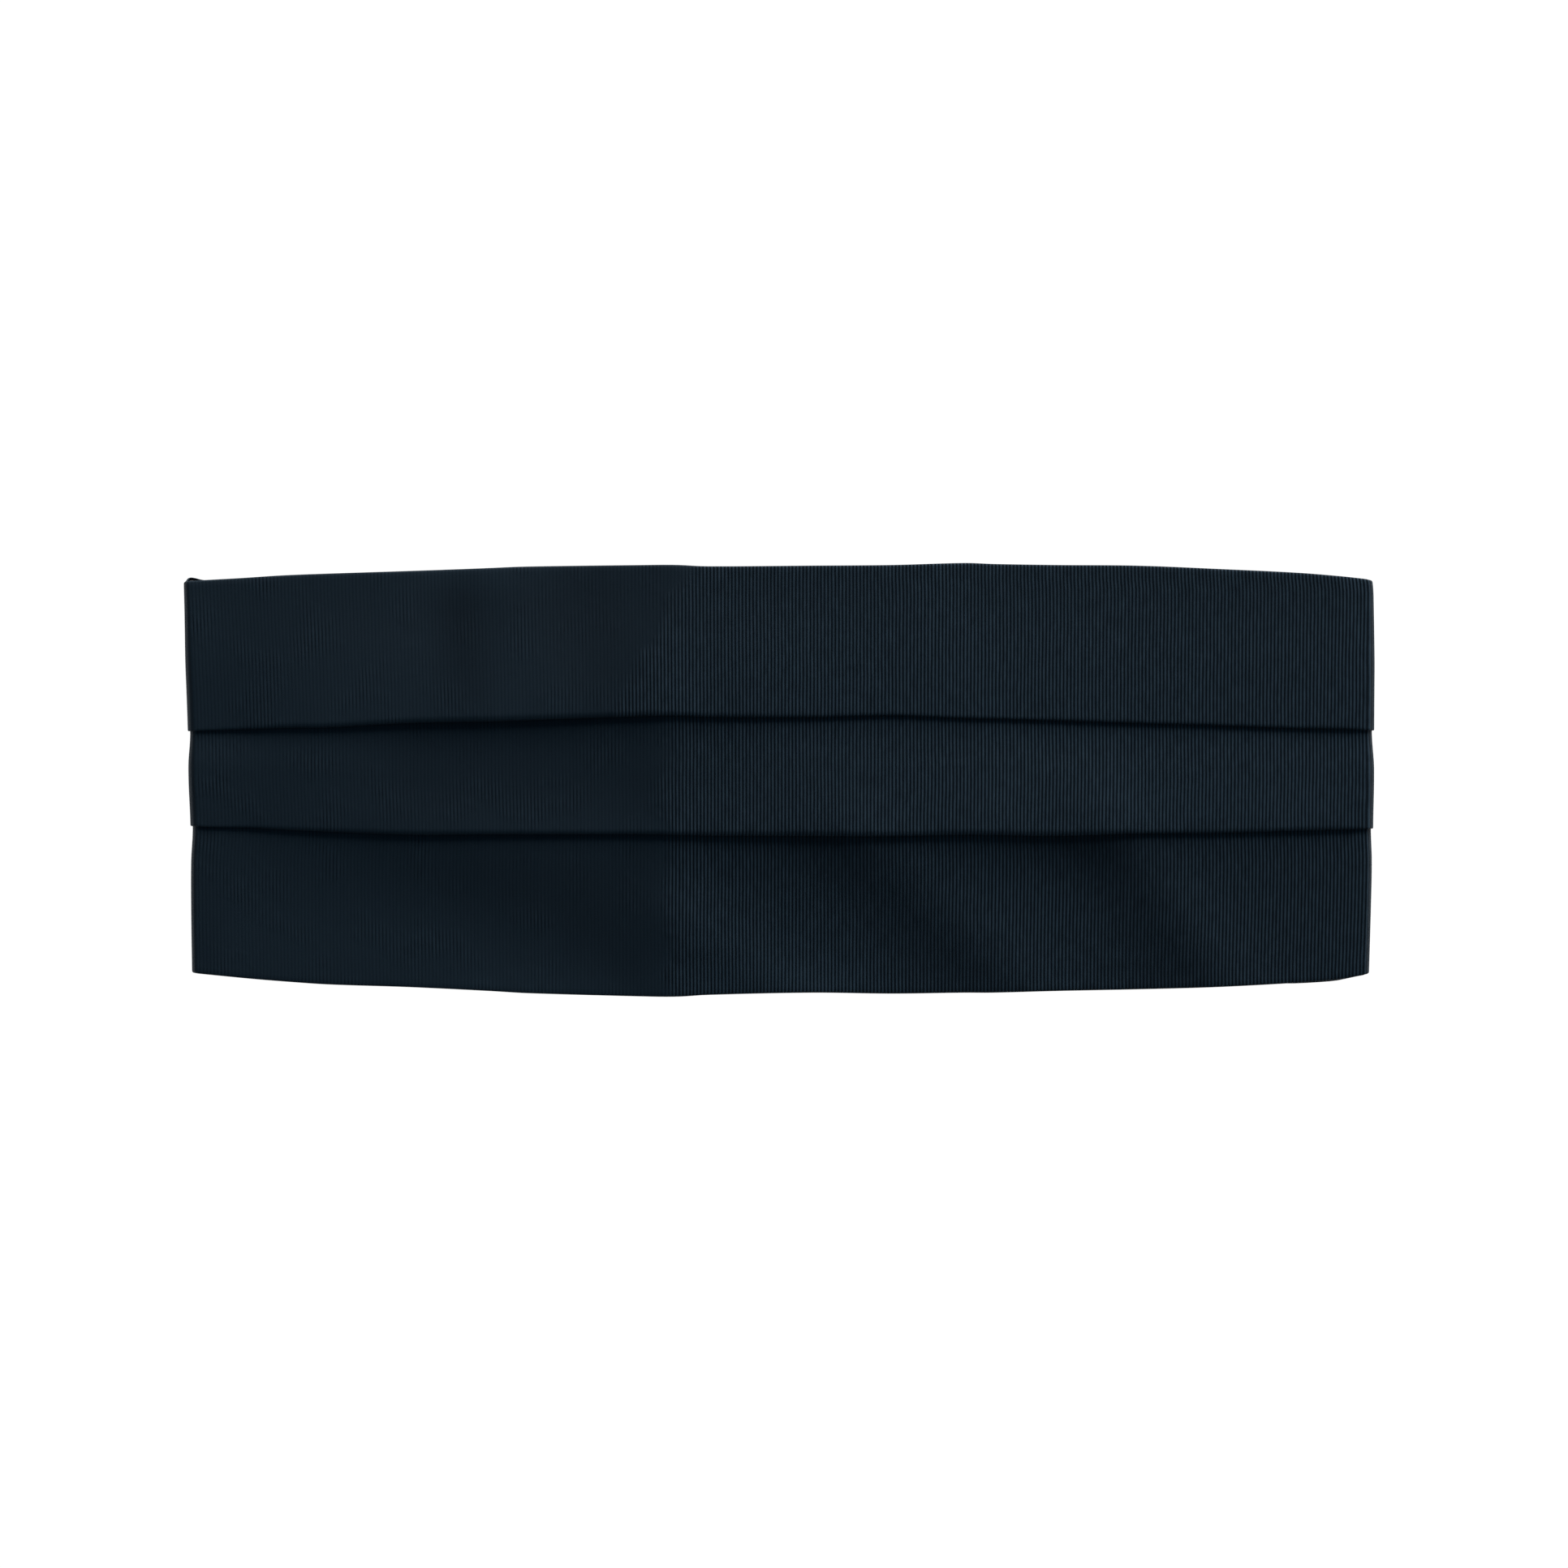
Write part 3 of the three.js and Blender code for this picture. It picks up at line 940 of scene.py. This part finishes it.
# %% [markdown]
# Faille is a plain weave with thick threads one way, so it is covered in fine upright ribs with dark
# grooves between them. The fibre is matt with a low sheen. A Wave texture could draw the ribs, but a sine
# worked out from a place on the flat cloth also gives every rib its own number, and so its own shade. Real
# ribs here are 1 mm apart, too fine for the render, so they are drawn 1.1 mm apart.

# %% Ribs
# Distance between ribs, how far they wander sideways, and over what length
RIB = 1.1 * MM
RIB_JITTER = 0.5 * MM
WANDER = 22 * MM


def rib_height(tree, uv, along):
    """Each rib's number, and the height from 0 in a groove to 1 on a crest. The threads wander a little."""
    wander = add_node(tree, "ShaderNodeTexNoise", {"Scale": 1 / WANDER, "Detail": 2.0}, {"Vector": uv})
    shifted = add_node(tree, "ShaderNodeMath", {"operation": "MULTIPLY_ADD", 1: RIB_JITTER},
                       {0: wander.outputs["Fac"], 2: along})
    count = add_node(tree, "ShaderNodeMath", {"operation": "MULTIPLY", 1: 1 / RIB}, {0: shifted.outputs[0]})
    number = add_node(tree, "ShaderNodeMath", {"operation": "FLOOR"}, {0: count.outputs[0]})
    phase = add_node(tree, "ShaderNodeMath", {"operation": "MULTIPLY", 1: math.pi}, {0: count.outputs[0]})
    wave = add_node(tree, "ShaderNodeMath", {"operation": "SINE"}, {0: phase.outputs[0]})
    height = add_node(tree, "ShaderNodeMath", {"operation": "ABSOLUTE"}, {0: wave.outputs[0]})
    return number.outputs[0], height.outputs[0]


print("ribs from wing to wing:", round(2 * LOOP_HALF * MM / RIB))

# %% [markdown]
# On its left part the front's ribs hardly show. Their painted shade and painted highlight fade there, and
# their bump with them, as where light falls along the ribs. The border of that part slants in the top band,
# and wanders a little. Two materials could meet there, but one number from 0 to 1 that scales the ribs
# gives a softer border.

# %% Part with faint ribs
# Where the border lies, how soft it is, how far it wanders, and over what length
FAINT_RIBS_TO = -27 * MM
FAINT_RIBS_EDGE = 9 * MM
BORDER_WANDER = 20 * MM
BLOTCH = 16.7 * MM

# How far it slants in the top band, that band's height, the share that slants back below, and down to where
FAINT_RIBS_SLANT = -23 * MM
BAND = 47 * MM
SLANT_BACK = 0.65
SLANT_BACK_TO = 1.6 * BAND

# On the left wing the ribs come back between these two places
LEFT_WING = (-206 * MM, -196 * MM)


def rib_strength(tree, uv, along, down):
    """How much the ribs show: little on the left part, whose border slants in the top band."""
    slant = add_node(tree, "ShaderNodeMapRange", {
        "From Min": 0.0,
        "From Max": -BAND,
        "To Max": -FAINT_RIBS_SLANT,
    }, {"Value": down})
    back = add_node(tree, "ShaderNodeMapRange", {
        "From Min": -BAND,
        "From Max": -SLANT_BACK_TO,
        "To Max": SLANT_BACK * FAINT_RIBS_SLANT,
    }, {"Value": down})
    first = add_node(tree, "ShaderNodeMath", {"operation": "ADD"}, {0: along, 1: slant.outputs["Result"]})
    second = add_node(tree, "ShaderNodeMath", {"operation": "ADD"},
                      {0: first.outputs[0], 1: back.outputs["Result"]})
    blotch = add_node(tree, "ShaderNodeTexNoise", {"Scale": 1 / BLOTCH, "Detail": 3.0}, {"Vector": uv})
    border = add_node(tree, "ShaderNodeMath", {"operation": "MULTIPLY_ADD", 1: BORDER_WANDER},
                      {0: blotch.outputs["Fac"], 2: second.outputs[0]})
    edge = FAINT_RIBS_TO + BORDER_WANDER / 2
    free = add_node(tree, "ShaderNodeMapRange", {
        "interpolation_type": "SMOOTHSTEP",
        "From Min": edge - FAINT_RIBS_EDGE / 2,
        "From Max": edge + FAINT_RIBS_EDGE / 2,
    }, {"Value": border.outputs[0]})
    faint = add_node(tree, "ShaderNodeMapRange", {
        "From Min": 0.5,
        "From Max": 0.7,
        "To Min": 0.1,
        "To Max": 0.4,
    }, {"Value": blotch.outputs["Fac"]})
    wing = add_node(tree, "ShaderNodeMapRange", {
        "From Min": LEFT_WING[0],
        "From Max": LEFT_WING[1],
        "To Min": 1.0,
        "To Max": 0.0,
    }, {"Value": along})
    # On the left part the ribs' painted shade and highlight keep only this lowest share
    least_rib_share = add_node(tree, "ShaderNodeMath", {"operation": "MAXIMUM"},
                       {0: wing.outputs["Result"], 1: faint.outputs["Result"]})
    return add_node(tree, "ShaderNodeMath", {"operation": "MAXIMUM"},
                    {0: free.outputs["Result"], 1: least_rib_share.outputs[0]}).outputs[0]


# %% [markdown]
# The faille's colour is a ramp from the dark of a groove to the light of a crest: painted shade in the
# grooves and a painted highlight on the crests. The rib's height, the dashes along it and the strokes of
# painted shade and light choose the place on the ramp. Bump alone could shade the ribs, but they would
# vanish where the light comes along them, so both colour and bump follow the same height. Fibre reflects
# little, so the gloss is low.

# %% Faille
# How deep the ribs are, how long a rib's lighter and darker dashes are, and how unlike its neighbours'
RIB_DEPTH = 0.35 * MM
DASH = 5 * MM
DASH_VARIETY = 0.7

# Where the painted shade is darkest, the ribs keep only this share of their strength
DARKEST_PAINTED_SHADE = -0.3
RIBS_IN_PAINTED_SHADE = 0.65

# On the ramp: the ribless cloth's place, the ribs' contrast and offset, what dashes and painted shade add
RIBLESS_SHADE = 0.305
RIB_CONTRAST = 1.55
RIB_OFFSET = -0.945
DASH_CONTRAST = 0.9
PAINTED_SHADE_CONTRAST = 0.76


def thread_shade(tree, number, down):
    """Each rib is a little lighter and darker along its length, in dashes some millimetres long."""
    across = add_node(tree, "ShaderNodeMath", {"operation": "MULTIPLY", 1: DASH_VARIETY}, {0: number})
    length = add_node(tree, "ShaderNodeMath", {"operation": "MULTIPLY", 1: 1 / DASH}, {0: down})
    place = add_node(tree, "ShaderNodeCombineXYZ", links={"X": across.outputs[0], "Y": length.outputs[0]})
    dash = add_node(tree, "ShaderNodeTexNoise", {"Scale": 1.0, "Detail": 2.0}, {"Vector": place.outputs[0]})
    centred = add_node(tree, "ShaderNodeMath", {"operation": "SUBTRACT", 1: 0.5}, {0: dash.outputs["Fac"]})
    return centred.outputs[0]


def faille_material():
    material, tree, shader = new_material("faille", {
        "Roughness": 0.7,
        "Specular IOR Level": 0.08,
        "Sheen Weight": 0.01,
        "Sheen Roughness": 0.4,
        "Sheen Tint": screen_colour("#8ea3b5"),
    })
    uv, along, down = cloth_coordinates(tree)
    number, rib = rib_height(tree, uv, along)
    shown = rib_strength(tree, uv, along, down)
    dash = thread_shade(tree, number, down)
    # The strokes' painted shade and light, read from the vertices
    painted_shade = add_node(tree, "ShaderNodeAttribute", {"attribute_name": "painted_shade"}).outputs["Fac"]
    ribs_in_shade = add_node(tree, "ShaderNodeMapRange", {
        "From Min": DARKEST_PAINTED_SHADE,
        "From Max": 0.0,
        "To Min": RIBS_IN_PAINTED_SHADE,
    }, {"Value": painted_shade})
    strength = add_node(tree, "ShaderNodeMath", {"operation": "MULTIPLY"},
                        {0: shown, 1: ribs_in_shade.outputs["Result"]}).outputs[0]
    relief = add_node(tree, "ShaderNodeMath", {"operation": "MULTIPLY"}, {0: rib, 1: strength})
    middle = add_node(tree, "ShaderNodeMath", {
        "operation": "MULTIPLY_ADD",
        1: RIB_CONTRAST,
        2: RIB_OFFSET,
    }, {0: rib})
    dashed = add_node(tree, "ShaderNodeMath", {"operation": "MULTIPLY_ADD", 1: DASH_CONTRAST},
                      {0: dash, 2: middle.outputs[0]})
    level = add_node(tree, "ShaderNodeMath", {
        "operation": "MULTIPLY_ADD",
        1: PAINTED_SHADE_CONTRAST,
        2: RIBLESS_SHADE,
    }, {0: painted_shade})
    shade = add_node(tree, "ShaderNodeMath", {"operation": "MULTIPLY_ADD", "use_clamp": True},
                     {0: dashed.outputs[0], 1: strength, 2: level.outputs[0]})
    # Groove and crest: the ribs' painted shade and painted highlight
    colours = ("#050f17", "#26333d")
    colour_and_bump(tree, shader, shade.outputs[0], colours, relief.outputs[0], RIB_DEPTH)
    return material


faille = faille_material()
cloth.data.materials.append(faille)
print("nodes of faille:", len(faille.node_tree.nodes))

# %% [markdown]
# The lining is a plain satin, woven so that long threads float on its face, which makes it smoother and a
# little shinier than the faille. Its creases could be modelled, but they are so shallow that soft noise in
# the bump is enough. One wave along a slanted line draws its fine twill. A real twill line is about 0.3 mm
# wide, too fine for the render, so it is drawn 0.9 mm wide.

# %% Lining satin
# Distance between twill lines, size and depth of the creases, and how high the twill is next to them
TWILL = 0.9 * MM
CREASE = 17 * MM
CREASE_DEPTH = 0.5 * MM
TWILL_SHARE = 0.06


def satin_material():
    material, tree, shader = new_material("lining_satin", {
        "Roughness": 0.42,
        "Specular IOR Level": 0.3,
        "Sheen Weight": 0.1,
        "Sheen Tint": screen_colour("#8ea3b5"),
    })
    uv, along, down = cloth_coordinates(tree)
    slant = add_node(tree, "ShaderNodeMath", {"operation": "ADD"}, {0: along, 1: down})
    phase = add_node(tree, "ShaderNodeMath", {"operation": "MULTIPLY", 1: 2 * math.pi / TWILL},
                     {0: slant.outputs[0]})
    twill = add_node(tree, "ShaderNodeMath", {"operation": "SINE"}, {0: phase.outputs[0]})
    creases = add_node(tree, "ShaderNodeTexNoise", {"Scale": 1 / CREASE, "Detail": 3.0}, {"Vector": uv})
    height = add_node(tree, "ShaderNodeMath", {"operation": "MULTIPLY_ADD", 1: TWILL_SHARE},
                      {0: twill.outputs[0], 2: creases.outputs["Fac"]})
    # The creases' noise also sets the colour: painted shade in their hollows, painted light on their ridges
    colours = ("#0d1216", "#1b2228")
    colour_and_bump(tree, shader, creases.outputs["Fac"], colours, height.outputs[0], CREASE_DEPTH, 0.6)
    return material


satin = satin_material()
lining.data.materials.append(satin)
print("nodes of satin:", len(satin.node_tree.nodes))

# %% [markdown]
# The straps are narrow-woven grosgrain: crosswise ribs 1.5 mm apart and a firm, matt black thread. The ribs
# are wide enough to show at their real size. They could follow the object's own coordinates, but those
# would stretch them where the strap turns, so the flat band's UV places them.

# %% Strap webbing
STRAP_RIB = 1.5 * MM
STRAP_RIB_DEPTH = 0.25 * MM


def webbing_material():
    material, tree, shader = new_material("grosgrain_webbing", {
        "Roughness": 0.8,
        "Specular IOR Level": 0.2,
        "Sheen Weight": 0.15,
        "Sheen Tint": screen_colour("#93a1ad"),
    })
    uv, along, _ = cloth_coordinates(tree)
    phase = add_node(tree, "ShaderNodeMath", {"operation": "MULTIPLY", 1: math.pi / STRAP_RIB}, {0: along})
    wave = add_node(tree, "ShaderNodeMath", {"operation": "SINE"}, {0: phase.outputs[0]})
    rib = add_node(tree, "ShaderNodeMath", {"operation": "ABSOLUTE"}, {0: wave.outputs[0]})
    # The rib's height also sets the colour: painted shade in the grooves, a painted highlight on the crests
    colours = ("#090c0f", "#1a1f24")
    colour_and_bump(tree, shader, rib.outputs[0], colours, rib.outputs[0], STRAP_RIB_DEPTH)
    return material


webbing = webbing_material()
for strap in straps:
    strap.data.materials.append(webbing)
print("nodes of webbing:", len(webbing.node_tree.nodes))

# %% [markdown]
# The stitches are spun polyester thread, a little glossier than the strap, with its two plies twisted round
# each other. The twist could be modelled, but the thread is hardly wider than a pixel. The beads have no UV
# and never bend, so a fine slanted wave on the object's own coordinates draws it.

# %% Sewing thread
PLY = 0.45 * MM
PLY_DEPTH = 0.08 * MM


def thread_material():
    material, tree, shader = new_material("polyester_thread", {
        "Roughness": 0.5,
        "Specular IOR Level": 0.35,
    })
    place = add_node(tree, "ShaderNodeTexCoord")
    parts = add_node(tree, "ShaderNodeSeparateXYZ", links={"Vector": place.outputs["Object"]})
    slant = add_node(tree, "ShaderNodeMath", {"operation": "ADD"},
                     {0: parts.outputs["X"], 1: parts.outputs["Y"]})
    phase = add_node(tree, "ShaderNodeMath", {"operation": "MULTIPLY", 1: 2 * math.pi / PLY},
                     {0: slant.outputs[0]})
    twist = add_node(tree, "ShaderNodeMath", {"operation": "SINE"}, {0: phase.outputs[0]})
    lifted = add_node(tree, "ShaderNodeMapRange", {"From Min": -1.0}, {"Value": twist.outputs[0]})
    height = lifted.outputs["Result"]
    # The twist's height also sets the colour: painted shade between the plies, a painted highlight on them
    colour_and_bump(tree, shader, height, ("#10161b", "#2c3740"), height, PLY_DEPTH, 0.8)
    return material


thread = thread_material()
stitches.data.materials.append(thread)
print("nodes of thread:", len(thread.node_tree.nodes))

# %% [markdown]
# The slide is steel, sprayed with a dark satin lacquer. One even gloss would look like plastic. Sprayed
# lacquer dries to a faint unevenness about a millimetre across, called orange peel, so fine noise changes
# the gloss and the bump a little.

# %% Slide lacquer
ORANGE_PEEL = 1.1 * MM
PEEL_DEPTH = 0.05 * MM


def lacquer_material():
    material, tree, shader = new_material("lacquered_steel", {
        "Base Color": screen_colour("#2a2d31"),
        "Metallic": 0.85,
        "Coat Weight": 0.35,
        "Coat Roughness": 0.18,
    })
    place = add_node(tree, "ShaderNodeTexCoord")
    grain = add_node(tree, "ShaderNodeTexNoise", {"Scale": 1 / ORANGE_PEEL, "Detail": 2.0},
                     {"Vector": place.outputs["Object"]})
    gloss = add_node(tree, "ShaderNodeMapRange", {"To Min": 0.28, "To Max": 0.42},
                     {"Value": grain.outputs["Fac"]})
    bump = add_node(tree, "ShaderNodeBump", {"Strength": 0.2, "Distance": PEEL_DEPTH},
                    {"Height": grain.outputs["Fac"]})
    tree.links.new(gloss.outputs["Result"], shader.inputs["Roughness"])
    tree.links.new(bump.outputs["Normal"], shader.inputs["Normal"])
    return material


lacquer = lacquer_material()
slide.data.materials.append(lacquer)
print("nodes of lacquer:", len(lacquer.node_tree.nodes))

# %% [markdown]
# ## Floor and light
#
# The photo is a cut-out on pure white. A plain white floor would show a shadow, so the floor glows, like a
# light table, which gives the same clean white. It is clear when seen from below, so the back can be looked
# at too.

# %% Floor
FLOOR_HALF = 3.0
FLOOR_DROP = 0.2 * MM


def add_floor():
    mesh = bmesh.new()
    bmesh.ops.create_grid(mesh, x_segments=1, y_segments=1, size=FLOOR_HALF,
                          matrix=Matrix.Translation((0, 0, -FLOOR_DROP)))
    floor = new_piece("floor", mesh)
    material, tree, shader = new_material("light_table", {
        "Base Color": screen_colour("#404040"),
        "Roughness": 0.9,
        "Emission Color": (1, 1, 1, 1),
        "Emission Strength": 1.0,
    })
    side = add_node(tree, "ShaderNodeNewGeometry")
    clear = add_node(tree, "ShaderNodeBsdfTransparent")
    one_way = add_node(tree, "ShaderNodeMixShader", links={
        0: side.outputs["Backfacing"],
        1: shader.outputs[0],
        2: clear.outputs[0],
    })
    tree.links.new(one_way.outputs[0], tree.nodes["Material Output"].inputs["Surface"])
    floor.data.materials.append(material)
    return floor


floor = add_floor()
corners = floor.data.vertices
print("floor corners in m:", [tuple(round(place, 1) for place in corner.co) for corner in corners])

# %% [markdown]
# One softbox stands low behind the top edge and a little right, so the folded edges throw soft shadows and
# the ribs catch light. A light from above would wash both out. The room has pale walls and a dim bluish
# ceiling, which keeps dark cloth dark.

# %% Softbox and room
KEY_PLACE = (0.42, 1.25, 0.42)
KEY_SIZE = 0.78
KEY_POWER = 38
WALLS = (0.9, 0.9, 0.9, 1)
CEILING = (0.06, 0.14, 0.19, 1)

# The height, as the sine of an angle, up to which the walls reach, and from which the ceiling starts
WALLS_TO = 0.05
CEILING_FROM = 0.42


def add_softbox(name, place, size, power):
    light = bpy.data.lights.new(name, "AREA")
    light.shape = "SQUARE"
    light.size = size
    light.energy = power
    lamp = bpy.data.objects.new(name, light)
    lamp.location = place
    lamp.rotation_euler = (-Vector(place)).to_track_quat("-Z", "Y").to_euler()
    bpy.context.collection.objects.link(lamp)


def add_room():
    """A world that is pale towards the horizon and dim overhead."""
    world = bpy.data.worlds.new("studio")
    world.use_nodes = True
    tree = world.node_tree
    look = add_node(tree, "ShaderNodeTexCoord")
    parts = add_node(tree, "ShaderNodeSeparateXYZ", links={"Vector": look.outputs["Generated"]})
    glow = add_node(tree, "ShaderNodeValToRGB", links={"Fac": parts.outputs["Z"]})
    glow.color_ramp.interpolation = "EASE"
    glow.color_ramp.elements[0].position = WALLS_TO
    glow.color_ramp.elements[0].color = WALLS
    glow.color_ramp.elements[1].position = CEILING_FROM
    glow.color_ramp.elements[1].color = CEILING
    tree.links.new(glow.outputs["Color"], tree.nodes["Background"].inputs["Color"])
    bpy.context.scene.world = world


add_softbox("key_softbox", KEY_PLACE, KEY_SIZE, KEY_POWER)
add_room()
bpy.context.scene.view_settings.view_transform = "Standard"
print("softbox height over the table, in degrees:",
      round(math.degrees(math.asin(KEY_PLACE[2] / Vector(KEY_PLACE).length))))
